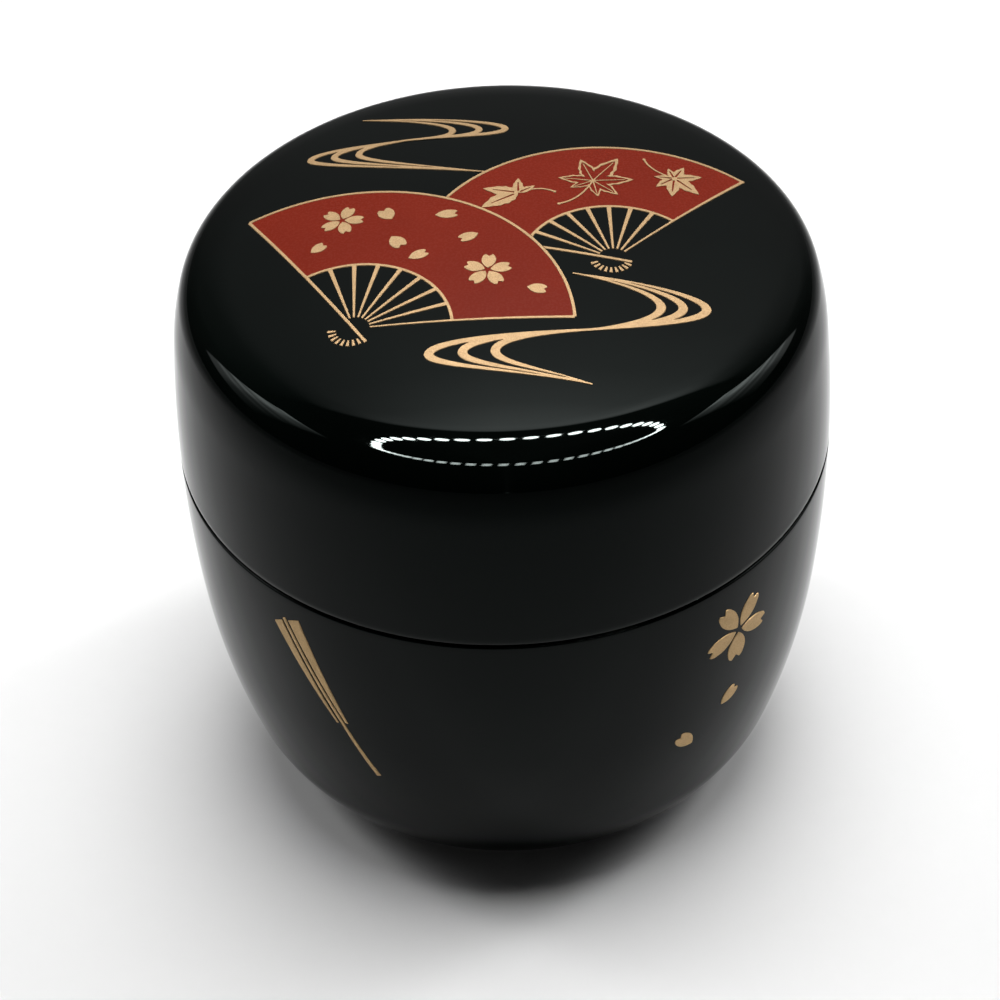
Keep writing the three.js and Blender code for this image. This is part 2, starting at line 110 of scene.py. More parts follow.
def outline(depth, keep=lambda tilt: True):
    """Points (r, z) of the outer profile moved inwards by depth, from the axis outwards."""
    points = []
    r, z, tilt = 0.0, DOME_TOP, 0.0
    for radius, turn in OUTLINE:
        middle_r = r - radius * math.sin(math.radians(tilt))
        middle_z = z - radius * math.cos(math.radians(tilt))
        steps = max(math.ceil(turn / TURN_STEP), math.ceil(radius * math.radians(turn) / STEP))
        for i in range(0 if not points else 1, steps + 1):
            angle = tilt + turn * i / steps
            s, c = math.sin(math.radians(angle)), math.cos(math.radians(angle))
            points.append((middle_r + (radius - depth) * s, middle_z + (radius - depth) * c, angle))
        tilt += turn
        r = middle_r + radius * math.sin(math.radians(tilt))
        z = middle_z + radius * math.cos(math.radians(tilt))
    return [(p[0], p[1]) for p in points if keep(p[2])]


SURFACE = outline(0)
TOP_DEPTH = 8  # how far below the dome's top the lid's top is looked up
WALL_ABOVE = 2  # how far above the seam the wall is looked up


def height_at(r):
    """Height of the lid's top at a distance from the axis."""
    top = [p for p in SURFACE if p[1] > DOME_TOP - TOP_DEPTH]
    return float(np.interp(r, [p[0] for p in top], [p[1] for p in top]))


def radius_at(z):
    """Outer radius of the cup at a height."""
    wall = [p for p in SURFACE if p[1] < SEAM + WALL_ABOVE]
    return float(np.interp(z, [p[1] for p in reversed(wall)], [p[0] for p in reversed(wall)]))


def rounded(corners):
    """Open polyline of (r, z, fillet) corners, rounded, in steps of at most STEP."""
    points = []
    for i, (r, z, fillet) in enumerate(corners):
        here = Vector((r, z))
        if fillet and 0 < i < len(corners) - 1:
            back = (Vector(corners[i - 1][:2]) - here).normalized()
            on = (Vector(corners[i + 1][:2]) - here).normalized()
            half = back.angle(on) / 2
            reach = fillet / math.tan(half)
            middle = here + (back + on).normalized() * fillet / math.sin(half)
            first, last = here + back * reach - middle, here + on * reach - middle
            for k in range(FILLET_STEPS + 1):
                points.append(middle + arc_step(first, last, k / FILLET_STEPS))
        else:
            points.append(here)
    fine = [points[0]]
    for a, b in zip(points, points[1:]):
        steps = max(1, math.ceil((b - a).length / STEP))
        fine += [a.lerp(b, k / steps) for k in range(1, steps + 1)]
    return [tuple(p) for p in fine]


def arc_step(first, last, share):
    """Vector a share of the way round from one radius to the other."""
    angle = -first.angle_signed(last) * share
    c, s = math.cos(angle), math.sin(angle)
    return Vector((first.x * c - first.y * s, first.x * s + first.y * c))


def add_object(name, mesh, work):
    """New smooth object from a bmesh, which is put into the mesh."""
    bmesh.ops.recalc_face_normals(work, faces=work.faces)
    work.to_mesh(mesh)
    work.free()
    mesh.shade_smooth()
    piece = bpy.data.objects.new(name, mesh)
    bpy.context.scene.collection.objects.link(piece)
    return piece


def add_mesh(name, verts, faces):
    """New smooth object from vertices in millimetres."""
    mesh = bpy.data.meshes.new(name)
    mesh.from_pydata([(x * MM, y * MM, z * MM) for x, y, z in verts], [], faces)
    work = bmesh.new()
    work.from_mesh(mesh)
    return add_object(name, mesh, work)


def lathe(name, profile):
    """Closed solid of revolution: the profile starts and ends on the axis."""
    verts, faces = [], []
    rings = []
    for r, z in profile:
        if r < ON_AXIS:
            rings.append([len(verts)])
            verts.append((0, 0, z))
        else:
            rings.append(list(range(len(verts), len(verts) + ROUND)))
            turns = [2 * math.pi * i / ROUND for i in range(ROUND)]
            verts += [(r * math.cos(t), r * math.sin(t), z) for t in turns]
    for a, b in zip(rings, rings[1:]):
        for i in range(ROUND):
            j = (i + 1) % ROUND
            corners = [a[i % len(a)], a[j % len(a)], b[j % len(b)], b[i % len(b)]]
            faces.append(list(dict.fromkeys(corners)))
    return add_mesh(name, verts, faces)


# ---- thin raised pictures ----


def area_of(points):
    pairs = zip(points, points[1:] + points[:1])
    return sum(a[0] * b[1] - b[0] * a[1] for a, b in pairs) / 2


def grid_inside(shapes, spacing, clear):
    """Points of a regular grid that lie clear of every edge of the shapes."""
    corners = np.array([p for shape in shapes for p in shape])
    low, high = corners.min(axis=0), corners.max(axis=0)
    xs = np.arange(low[0] + spacing / 2, high[0], spacing)
    ys = np.arange(low[1] + spacing / 2, high[1], spacing)
    points = np.array([(x, y) for x in xs for y in ys])
    if len(points) == 0:
        return []
    nearest = np.full(len(points), np.inf)
    for shape in shapes:
        ring = np.array(shape)
        for a, b in zip(ring, np.roll(ring, -1, axis=0)):
            along = b - a
            share = np.clip((points - a) @ along / max(along @ along, TINY), 0, 1)
            gap = np.linalg.norm(points - a - share[:, None] * along, axis=1)
            nearest = np.minimum(nearest, gap)
    return [tuple(p) for p in points[nearest > clear]]


def divided(ring, longest):
    """Closed outline with points added so that no edge is longer than longest."""
    out = []
    ring = [Vector(p) for p in ring]
    for a, b in zip(ring, ring[1:] + ring[:1]):
        steps = max(1, math.ceil((b - a).length / longest))
        out += [tuple(a.lerp(b, k / steps)) for k in range(steps)]
    return out


def flat_region(shapes, holes, spacing):
    """Triangles of the union of the shapes without the holes, with a grid of points inside."""
    verts, rings = [], []
    shapes = [divided(shape, spacing) for shape in shapes]
    holes = [divided(shape, spacing) for shape in holes]
    for shape in shapes + holes:
        ring = shape if area_of(shape) > 0 else shape[::-1]
        rings.append(list(range(len(verts), len(verts) + len(ring))))
        verts += ring
    verts += grid_inside(shapes + holes, spacing, spacing * GRID_CLEAR)
    verts = [Vector(v) for v in verts]
    points, _, triangles, _, _, sources = delaunay_2d_cdt(
        verts, [], rings, INSIDE_TRIANGLES, OUTLINE_MERGE)
    kept = [t for t, owners in zip(triangles, sources) if owners and max(owners) < len(shapes)]
    return points, kept


def layered(work, points, triangles, bevel):
    """Two flat sheets, the upper one inset by the bevel; returns the points that stay low."""
    verts = [work.verts.new((p.x, p.y, 0)) for p in points]
    for t in triangles:
        work.faces.new([verts[i] for i in t])
    bmesh.ops.delete(work, geom=[v for v in work.verts if not v.link_faces], context="VERTS")
    outer = {v for e in work.edges if len(e.link_faces) == 1 for v in e.verts}
    under = bmesh.ops.duplicate(work, geom=work.faces[:] + work.edges[:] + work.verts[:])
    below = {v for v in under["geom"] if isinstance(v, bmesh.types.BMVert)}
    top_faces = [f for f in work.faces if not any(v in below for v in f.verts)]
    bmesh.ops.inset_region(
        work, faces=top_faces, thickness=bevel, use_boundary=True, use_even_offset=False)
    return below | outer


def raised(name, shapes, place, lift, holes=(), spacing=LID_SPACING, bevel=BEVEL):
    """Thin layer with a bevelled edge: flat shapes, put on the lacquer by place."""
    work = bmesh.new()
    low = layered(work, *flat_region(list(shapes), list(holes), spacing), bevel)
    for v in work.verts:
        v.co = Vector(place(v.co.x, v.co.y, -EMBED if v in low else lift)) * MM
    bmesh.ops.remove_doubles(work, verts=work.verts, dist=POINT_MERGE)
    piece = add_object(name, bpy.data.meshes.new(name), work)
    piece.data.set_sharp_from_angle(angle=math.radians(SHARP_ANGLE))
    return piece


def on_lid(x, y, lift):
    return x, y, height_at(math.hypot(x, y)) + lift


def on_cup(azimuth):
    """Places points on the cup's wall, seen from azimuth degrees to the right of the front."""
    turn = math.radians(azimuth)
    right = Vector((math.cos(turn), math.sin(turn), 0))
    outward = Vector((math.sin(turn), -math.cos(turn), 0))

    def place(x, y, lift):
        z = SEAM + y
        r = radius_at(z) + lift
        return right * x + outward * math.sqrt(r * r - x * x) + Vector((0, 0, z))

    return place


# ---- flat outlines ----


def bezier(points, steps):
    """Points of a Bezier curve of any order, but for its last one."""
    out = []
    for i in range(steps):
        layer = [Vector(p) for p in points]
        while len(layer) > 1:
            layer = [a.lerp(b, i / steps) for a, b in zip(layer, layer[1:])]
        out.append(tuple(layer[0]))
    return out


def bar(a, b, width_a, width_b):
    """Straight line from a to b with its own width at each end."""
    a, b = Vector(a), Vector(b)
    side = (b - a).orthogonal().normalized()
    return [tuple(a + side * width_a / 2), tuple(b + side * width_b / 2),
            tuple(b - side * width_b / 2), tuple(a - side * width_a / 2)]


def arc(centre, radius, start, end, steps):
    return [polar(centre, radius, start + (end - start) * i / steps) for i in range(steps + 1)]


def ring_part(centre, inner, outer, start, end, steps=48):
    return arc(centre, outer, start, end, steps) + arc(centre, inner, end, start, steps)


def disc(centre, radius, steps=16):
    return arc(centre, radius, 0, 360, steps)[:-1]


PETAL_WIDTH = 0.6  # as a share of a blossom's radius
# Control points of half a petal: shares of its length, and of half its width.
PETAL_SIDE = [(0, 0), (0.16, 0.7), (0.45, 1.3), (0.8, 0.95)]
PETAL_TIP = [(0.8, 0.95), (0.92, 0.85), (0.98, 0.72), (1, 0.45)]
PETAL_NOTCH = (0.86, 0)
SIDE_STEPS, TIP_STEPS = 8, 4


def petal(root, length, width, degrees):
    """Cherry petal from its root, with a notch at the far end."""
    turn = math.radians(degrees)

    def at(u, v):
        along, across = u * length, v * width / 2
        return (root[0] + along * math.cos(turn) - across * math.sin(turn),
                root[1] + along * math.sin(turn) + across * math.cos(turn))

    side, tip = [at(*p) for p in PETAL_SIDE], [at(*p) for p in PETAL_TIP]
    far_tip = [at(u, -v) for u, v in reversed(PETAL_TIP)]
    far_side = [at(u, -v) for u, v in reversed(PETAL_SIDE)]
    near = bezier(side, SIDE_STEPS) + bezier(tip, TIP_STEPS)
    far = bezier(far_tip, TIP_STEPS) + bezier(far_side, SIDE_STEPS)
    return near + [tip[-1], at(*PETAL_NOTCH)] + far


def blossom_petal(centre, length, width, degrees, start=0.1):
    """Petal of a blossom, which just doesn't reach the blossom's centre."""
    return petal(polar(centre, length * start, degrees), length * (1 - start), width, degrees)


def blossom(centre, length, directions):
    """Petals round a centre, one in each direction."""
    width = length * PETAL_WIDTH
    return [blossom_petal(centre, length, width, degrees) for degrees in directions]


def loose_petal(at, angle, length, width):
    return petal(polar(at, -length / 2, angle), length, width, angle)


# ---- pictures: in the same places as in the CAD model ----

# Opened fans: widths of their lines, and the ribs' start away from the pivot.
LINE = 0.37
RIB_IN, RIB_OUT = 0.24, 0.5
FAN_TURN = 120
FAN_PARTS = 8
PIVOT_CLEAR = 1.5
EDGE_SHORT = 0.3  # how far the straight edges stop short of the outer arc
OUTER_STEPS, INNER_STEPS = 64, 40
FRONT_FAN = dict(pivot=(-14.0, -12.0), start=0, behind=0.6, inner=9.7, outer=21.4, reach=2.3)
REAR_FAN = dict(pivot=(11.2, -3.55), start=46, behind=1.0, inner=9.3, outer=19.9, reach=1.8)
FRONT_TAIL = dict(centre=(-14.3, -12.1), inner=1.42, outer=2.25, start=172, turn=130, ticks=8)
REAR_TAIL = dict(centre=(10.93, -3.45), inner=1.42, outer=2.2, start=197, turn=141, ticks=9)
TICK = 0.36
TICK_TAPER = 0.6

# Blossoms as (centre, radius, petals' directions); petals as (middle, direction, length, width).
LEFT_BLOSSOM = ((-15.27, 4.45), 2.2, [-6 + 72 * i for i in range(5)])
RIGHT_BLOSSOM = ((-1.08, -5.06), 2.35, [12 + 72 * i for i in range(5)])
LOOSE_PETALS = [
    ((-17.6, 0.35), 38, 1.8, 1.25),
    ((-10.8, 4.7), 117, 2.0, 1.65),
    ((-9.85, 0.15), -58, 2.1, 1.6),
    ((-7.8, -2.2), 24, 2.1, 1.3),
    ((-4.95, 4.0), 2, 2.3, 1.35),
    ((-2.8, 0.2), 204, 2.1, 1.3),
    ((3.6, -7.95), -13, 2.0, 1.35),
]


def arc_centre(fan):
    return polar(fan["pivot"], -fan["behind"], fan["start"] + FAN_TURN / 2)


def span_at(fan, radius, inset):
    """Angles, seen from the arcs' centre, where a circle meets the fan's straight edges."""
    sine = (fan["behind"] * math.sin(math.radians(FAN_TURN / 2)) + inset) / radius
    lean = math.degrees(math.asin(sine))
    return fan["start"] + lean, fan["start"] + FAN_TURN - lean


def fan_lines(fan):
    """Gold lines of a fan but for its long guard."""
    pivot, start = fan["pivot"], fan["start"]
    centre = arc_centre(fan)
    half = LINE / 2
    shapes = []
    for radius in (fan["inner"], fan["outer"]):
        shapes.append(ring_part(centre, radius - half, radius + half, *span_at(fan, radius, 0)))
    near, far = polar(pivot, PIVOT_CLEAR, start), polar(pivot, fan["outer"] - EDGE_SHORT, start)
    shapes.append(bar(near, far, RIB_IN, LINE))
    for i in range(1, FAN_PARTS):
        turn = FAN_TURN * i / FAN_PARTS
        reach = fan["inner"] - fan["behind"] * math.cos(math.radians(turn - FAN_TURN / 2))
        near, far = polar(pivot, PIVOT_CLEAR, start + turn), polar(pivot, reach, start + turn)
        shapes.append(bar(near, far, RIB_IN, RIB_OUT))
    return shapes


def long_guard(fan):
    angle = fan["start"] + FAN_TURN
    low = polar(fan["pivot"], -fan["reach"], angle)
    high = polar(fan["pivot"], fan["outer"] - EDGE_SHORT, angle)
    return bar(low, high, LINE, LINE)


def fan_leaf(fan):
    centre = arc_centre(fan)
    low, high = span_at(fan, fan["inner"], 0), span_at(fan, fan["outer"], 0)
    outer = arc(centre, fan["outer"], high[0], high[1], OUTER_STEPS)
    return outer + arc(centre, fan["inner"], low[1], low[0], INNER_STEPS)


def fan_tail(tail):
    """Rib ends that show behind the pivot."""
    shapes = []
    for i in range(tail["ticks"]):
        angle = tail["start"] + tail["turn"] * (i + 0.5) / tail["ticks"]
        near = polar(tail["centre"], tail["inner"], angle)
        far = polar(tail["centre"], tail["outer"], angle)
        shapes.append(bar(near, far, TICK * TICK_TAPER, TICK))
    return shapes


def fan_cover(fan, grow):
    """The whole fan in plan, grown a little: what hides the fan behind it."""
    start, end = span_at(fan, fan["outer"], -grow)
    outer = arc(arc_centre(fan), fan["outer"] + grow, start, end, OUTER_STEPS)
    return [fan["pivot"]] + outer


# Maple leaves: lobes as (direction, length), and the stem as points of a curve.
LEFT_MAPLE = dict(
    at=(2.2, 7.1), lobes=[(165.5, 3.6), (89, 2.5), (34.5, 2.05), (212, 4.4)],
    stem=[(2.2, 7.1), (3.6, 7.9), (4.8, 7.9), (5.8, 7.2)])
MIDDLE_MAPLE = dict(
    at=(9.68, 9.15),
    lobes=[(57, 4.95), (106, 4.0), (5, 4.1), (-45, 3.4), (-82, 2.8), (172, 3.5), (-151, 2.65)],
    stem=[(9.68, 9.15), (8.6, 6.6), (7.6, 5.6), (6.17, 5.12)])
RIGHT_MAPLE = dict(
    at=(17.8, 10.06),
    lobes=[(-48, 3.5), (10.6, 2.9), (-97, 3.24), (62, 2.4), (-139, 2.5), (106, 1.85), (175, 2.0)],
    stem=[(17.8, 10.06), (16.2, 10.9), (15.3, 11.9), (14.97, 13.31)])
LOBE_SPREAD = 57  # how wide a lobe opens on each side of its axis, in degrees
LOBE_BELLY = 0.52  # where it is widest, as a share of its length
TEETH = 0.08  # how far the teeth of a leaf stand out, as a share of its breadth
LOBE_STEPS = 10
STEM = 0.24  # width of a stem at its foot, where it ends in a small disc
STEM_TAPER = 0.8
STEM_STEPS = 12
STEM_FOOT = 0.75
# Veins as (start, end, width, width at the tip): the ends are shares of a lobe's length.
VEIN = 0.16
OPEN_VEIN = (0.12, 0.72, VEIN * 1.2, VEIN * 0.5)
DRAWN_VEIN = (0, 0.8, VEIN, VEIN * 0.7)
# What is left open in an outlined lobe: how far back it starts, its length and its width.
HOLLOW_BACK, HOLLOW_LENGTH, HOLLOW_WIDTH = 0.05, 0.92, 0.72


def lobe(root, degrees, length, width=1.0):
    """Pointed lobe of a maple leaf, with its sides gently toothed."""
    left = polar(root, length * LOBE_BELLY, degrees + LOBE_SPREAD * width)
    right = polar(root, length * LOBE_BELLY, degrees - LOBE_SPREAD * width)
    tip = polar(root, length, degrees)
    smooth = bezier([root, left, tip], LOBE_STEPS) + bezier([tip, right, root], LOBE_STEPS)
    axis = (Vector(tip) - Vector(root)).normalized()
    out = []
    for i, p in enumerate(smooth):
        middle = Vector(root) + axis * (Vector(p) - Vector(root)).dot(axis)
        swing = 1 + TEETH * (1 if i % 2 else -1)
        out.append(tuple(middle + (Vector(p) - middle) * swing))
    return out


def ribbon(points, widths):
    """Outline of a line through points with its own width at each of them."""
    points = [Vector(p) for p in points]
    left, right = [], []
    for i, p in enumerate(points):
        along = (points[min(i + 1, len(points) - 1)] - points[max(i - 1, 0)]).normalized()
        side = Vector((-along.y, along.x)) * widths[i] / 2
        left.append(tuple(p + side))
        right.append(tuple(p - side))
    return left + right[::-1]


def stalk(stem):
    """Stem from the middle of a leaf to its foot."""
    curve = bezier(stem, STEM_STEPS) + [stem[-1]]
    shares = [i / STEM_STEPS for i in range(STEM_STEPS + 1)]
    widths = [STEM * (STEM_TAPER + (1 - STEM_TAPER) * share) for share in shares]
    return [ribbon(curve, widths), disc(stem[-1], STEM * STEM_FOOT)]


def vein(at, degrees, length, shape):
    start, end, width, tip = shape
    return bar(polar(at, length * start, degrees), polar(at, length * end, degrees), width, tip)


def filled_maple(leaf):
    """Outlines of a solid leaf, and those of the veins left open in it."""
    at = leaf["at"]
    shapes = [lobe(at, d, n) for d, n in leaf["lobes"]]
    veins = [vein(at, d, n, OPEN_VEIN) for d, n in leaf["lobes"]]
    return shapes + stalk(leaf["stem"]), veins


def outlined_maple(leaf):
    """Outlines of a leaf, of what is left open inside it, and of its veins and stem."""
    at = leaf["at"]
    shapes = [lobe(at, d, n) for d, n in leaf["lobes"]]
    hollow = [lobe(polar(at, -n * HOLLOW_BACK, d), d, n * HOLLOW_LENGTH, HOLLOW_WIDTH)
              for d, n in leaf["lobes"]]
    veins = [vein(at, d, n, DRAWN_VEIN) for d, n in leaf["lobes"]]
    return shapes, hollow, veins + stalk(leaf["stem"])


# Streams of three lines each.
LOWER_STREAM = dict(
    start=(7.1, -5.8), crossing=(8.4, -13.75), end=(8.4, -20.8),
    right=[15.4, 17.5, 19.75], right_y=-10.4, left=[-6.9, -3.7, -0.6], left_y=-16.35, swell=1.0)
UPPER_STREAM = dict(
    start=(-13.4, 23.0), crossing=(-9.1, 17.95), end=(-1.0, 11.05),
    right=[-4.2, -1.5, 1.15], right_y=19.3, left=[-18.6, -16.2, -13.7], left_y=16.0, swell=0.8)
STREAM_THIN = 0.3  # width between two bends
STREAM_TIP = 0.15  # width at the two ends
STREAM_FADE = 1.5  # how fast the lines thin out between their bends
STREAM_STEPS = 24
# Pull of a line's control points, as shares of the widths between its bends and of its drop.
START_PULL, END_PULL, CROSS_PULL = (0.55, 0.28), (0.45, 0.4), (0.35, 0.08)
OUTER_PULL, INNER_PULL = 0.35, 0.4  # at a bend, on the side of an end and of the crossing


def stream_line(stream, right, left):
    """One line: from start round the right bend, through the crossing, round the left bend."""
    (sx, sy), (cx, cy), (ex, ey) = stream["start"], stream["crossing"], stream["end"]
    ry, ly = stream["right_y"], stream["left_y"]
    span, back, drop = right - cx, cx - left, sy - ry
    parts = [
        [(sx, sy), (sx + (right - sx) * START_PULL[0], sy - drop * START_PULL[1]),
         (right, ry + drop * OUTER_PULL), (right, ry)],
        [(right, ry), (right, ry - drop * INNER_PULL),
         (cx + span * CROSS_PULL[0], cy + drop * CROSS_PULL[1]), (cx, cy)],
        [(cx, cy), (cx - back * CROSS_PULL[0], cy - drop * CROSS_PULL[1]),
         (left, ly + drop * INNER_PULL), (left, ly)],
        [(left, ly), (left, ly - drop * OUTER_PULL),
         (ex - (ex - left) * END_PULL[0], ey + drop * END_PULL[1]), (ex, ey)],
    ]
    points, widths = [], []
    for k, part in enumerate(parts):
        for i, p in enumerate(bezier(part, STREAM_STEPS)):
            share = i / STREAM_STEPS if k % 2 == 0 else 1 - i / STREAM_STEPS
            thin = STREAM_TIP if k in (0, 3) else STREAM_THIN
            points.append(p)
            widths.append(thin + (stream["swell"] - thin) * share ** STREAM_FADE)
    return ribbon(points + [(ex, ey)], widths + [STREAM_TIP])


def stream(data):
    lefts = data["left"][::-1]
    return [stream_line(data, right, left) for right, left in zip(data["right"], lefts)]


# Pictures on the cup, in a flat frame: X to the right, Y up from the seam.
FOLDED_FAN_AZIMUTH = -36
FOLDED_FAN = {
    "folded_fan_left": [(-4.9, -4.4), (-3.85, -3.7), (1.75, -15.5), (1.5, -15.6)],
    "folded_fan_handle": [
        (-3.72, -3.35), (-3.37, -3.1), (2.38, -15.2), (5.5, -22.2), (5.02, -22.45), (1.92, -15.2),
    ],
    "folded_fan_right": [(-3.0, -3.28), (-1.6, -2.53), (2.9, -15.1), (2.55, -15.1)],
}
CUP_BLOSSOM_AZIMUTH = 42.9
CUP_BLOSSOM_CENTRE = (0, -7.4)
CUP_BLOSSOM_PETALS = [  # length, width, direction
    (4.4, 1.95, 123), (4.15, 1.95, 57), (4.1, 2.0, -17), (4.1, 2.3, -92), (4.15, 2.05, -163),
]
CUP_PETAL = dict(azimuth=42.2, at=(0, -16.8), angle=39, length=2.5, width=1.7)
HEART_PETAL = dict(azimuth=33.0, at=(-0.18, -20.25), angle=132, length=2.8, width=1.8)

# ---- materials ----

# Tones of each lacquer, from dark to light. The gold on the cup looks duller, as it is lit less;
# the gold is one gold in two copies tuned to the light each place gets, and the cup's copy is
# painted lighter than the lid's: painted light.
BLACK_TONES = [(0.0004, 0.0008, 0.0006), (0.0007, 0.0014, 0.0011)]
RED_TONES = [(0.145, 0.0105, 0.0028), (0.157, 0.0118, 0.0033)]
LID_GOLD_TONES = [(0.208, 0.134, 0.065), (0.29, 0.191, 0.098), (0.344, 0.233, 0.127)]
CUP_GOLD_TONES = [(0.42, 0.285, 0.135), (0.52, 0.355, 0.175), (0.59, 0.405, 0.21)]


def node_maker(tree):
    """Function that adds a node to the tree, with its inputs set or linked by name."""
    def make(kind, **inputs):
        node = tree.nodes.new(kind)
        for key, value in inputs.items():
            if key in ("operation", "blend_type"):
                setattr(node, key, value)
            elif hasattr(value, "is_output"):
                tree.links.new(value, node.inputs[key])
            else:
                node.inputs[key].default_value = value
        return node
    return make


def mixed(make, blend_type, first, second):
    node = make("ShaderNodeMixRGB", blend_type=blend_type, Fac=1.0, Color1=first, Color2=second)
    return node.outputs["Color"]


def noise(make, place, scale, detail):
    node = make("ShaderNodeTexNoise", Vector=place, Scale=scale, Detail=detail)
    return node.outputs["Fac"]


def new_material(name):
    """Material, with its node maker and its texture coordinates."""
    material = bpy.data.materials.new(name)
    material.use_nodes = True
    make = node_maker(material.node_tree)
    place = make("ShaderNodeTexCoord").outputs["Object"]
    return material, make, place


def shade(material, colour, rough, specular, bump=None):
    """Gives the shader what it reads, and returns its inputs."""
    links = material.node_tree.links
    inputs = material.node_tree.nodes["Principled BSDF"].inputs
    links.new(colour, inputs["Base Color"])
    if hasattr(rough, "is_output"):
        links.new(rough, inputs["Roughness"])
    else:
        inputs["Roughness"].default_value = rough
    if bump:
        links.new(bump.outputs["Normal"], inputs["Normal"])
    inputs["Specular IOR Level"].default_value = specular
    return inputs


def ramp(make, value, stops):
    """Colour ramp with (position, colour) stops."""
    stops = list(stops)
    node = make("ShaderNodeValToRGB", Fac=value)
    elements = node.color_ramp.elements
    while len(elements) < len(stops):
        elements.new(0.5)
    for element, (position, colour) in zip(elements, stops):
        element.position = position
        element.color = (*colour, 1)
    return node.outputs["Color"]


def grey(value):
    return value, value, value


def greys(stops):
    return [(position, grey(value)) for position, value in stops]


def black_lacquer():
    """Polished black urushi: almost no colour of its own, a little unevenness in its gloss."""
    material, make, place = new_material("black_lacquer")
    cloud = noise(make, place, scale=60.0, detail=3.0)
    dust = noise(make, place, scale=900.0, detail=4.0)
    colour = ramp(make, cloud, zip((0.35, 0.65), BLACK_TONES))
    rough = ramp(make, dust, [(0.3, grey(0.012)), (0.75, grey(0.03))])
    peel = noise(make, place, scale=220.0, detail=2.0)
    bump = make("ShaderNodeBump", Strength=0.05, Distance=0.00002, Height=peel)
    inputs = shade(material, colour, rough, specular=0.06, bump=bump)
    inputs["Specular Tint"].default_value = (0.86, 1.0, 0.96, 1)
    return material


def gold_lacquer(name, tones):
    """Gold powder bound in lacquer: soft metallic sheen with fine grain, in three tones."""
    material, make, place = new_material(name)
    grain = noise(make, place, scale=9000.0, detail=3.0)
    cloud = noise(make, place, scale=700.0, detail=2.0)
    fine = ramp(make, grain, zip((0.3, 0.55, 0.75), tones))
    wide = ramp(make, cloud, [(0.3, grey(0.88)), (0.7, grey(1.0))])
    colour = mixed(make, "MULTIPLY", fine, wide)
    rough = ramp(make, grain, [(0.3, grey(0.62)), (0.7, grey(0.5))])
    bump = make("ShaderNodeBump", Strength=0.25, Distance=0.00003, Height=grain)
    inputs = shade(material, colour, rough, specular=0.1, bump=bump)
    inputs["Metallic"].default_value = 0.48
    return material


def red_lacquer():
    """Vermilion lacquer: satin, with a slightly uneven depth of colour."""
    material, make, place = new_material("red_lacquer")
    cloud = noise(make, place, scale=180.0, detail=4.0)
    speck = noise(make, place, scale=4000.0, detail=2.0)
    wide = ramp(make, cloud, zip((0.3, 0.7), RED_TONES))
    fine = ramp(make, speck, [(0.3, grey(0.975)), (0.7, grey(0.99))])
    colour = mixed(make, "MULTIPLY", wide, fine)
    rough = ramp(make, speck, [(0.3, grey(0.24)), (0.7, grey(0.3))])
    bump = make("ShaderNodeBump", Strength=0.04, Distance=0.00002, Height=speck)
    shade(material, colour, rough, specular=0.06, bump=bump)
    return material


BLACK = black_lacquer()
GOLD = gold_lacquer("gold_lacquer", LID_GOLD_TONES)
# the cup's copy of the gold, painted lighter than the lid's to suit the light it gets: painted
# light
CUP_GOLD_PAINTED_LIGHTER = gold_lacquer("cup_gold_lacquer_painted_lighter", CUP_GOLD_TONES)
RED = red_lacquer()

# ---- pieces ----


def fit_out(piece, material, slot, body, *nodes):
    """Gives a piece its material, hangs it under its body and hides the CAD nodes that it stands
    for.
    """
    piece.data.materials.append(material)
    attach(piece, body)
    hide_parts(*nodes)


def lid_shell():
    bottom = SEAM + SEAM_GAP / 2
    inner = [p for p in outline(LID_WALL) if p[1] > SEAM + BORE_HEIGHT]
    outer = [p for p in outline(0) if p[1] > bottom + 2 * LIP_HEIGHT]
    wall = radius_at(bottom)
    skirt = rounded([
        (*inner[-1], 0),
        (LID_BORE, SEAM + BORE_HEIGHT, 0),
        (LID_BORE, bottom, SMALL_EDGE),
        (wall - LIP_DEPTH, bottom, LID_EDGE),
        (radius_at(bottom + LIP_HEIGHT), bottom + LIP_HEIGHT, 0),
        (*outer[-1], 0),
    ])
    return lathe("lid_lacquer", inner[:-1] + skirt + outer[-2::-1])


def tea_space(ledge):
    """Inside of the cup, from the lower end of the rim down to the floor."""
    inside = outline(CUP_WALL, lambda tilt: tilt <= FLOOR_TILT)
    return [p for p in inside if p[0] < RIM_INNER and p[1] < ledge - RIM_REACH]


def cup_shell():
    ledge = SEAM - SEAM_GAP / 2
    outer = [p for p in outline(0) if p[1] < ledge - 2 * CUP_EDGE]
    foot = outer[-1][0]
    ring = foot - FOOT_WIDTH
    inner = tea_space(ledge)
    base = rounded([
        (0, RECESS_DEPTH, 0),
        (ring - RECESS_DEPTH, RECESS_DEPTH, RECESS_FILLET),
        (ring, 0, SMALL_EDGE),
        (foot, 0, SMALL_EDGE),
        (*outer[-1], 0),
    ])
    rim = rounded([
        (*outer[0], 0),
        (radius_at(ledge), ledge, CUP_EDGE),
        (RIM_OUTER, ledge, LEDGE_FILLET),
        (RIM_OUTER, RIM_TOP, SMALL_EDGE),
        (RIM_INNER, RIM_TOP, SMALL_EDGE),
        (RIM_INNER, inner[0][1], 0),
    ])
    floor = rounded([(*inner[-1], 0), (0, inner[-1][1], 0)])
    return lathe("cup_lacquer", base[:-1] + outer[::-1][:-1] + rim + inner[1:] + floor[1:])


def build_shells():
    fit_out(cup_shell(), BLACK, "black_lacquer", "cup_body", "cup")
    fit_out(lid_shell(), BLACK, "black_lacquer", "lid_body", "lid")


def gold_on_lid(node, shapes, lift, holes=(), bevel=BEVEL, name=None):
    piece = raised(name or f"{node}_gold", shapes, on_lid, lift, holes, LID_SPACING, bevel)
    fit_out(piece, GOLD, "gold_lacquer", "lid_body", node)


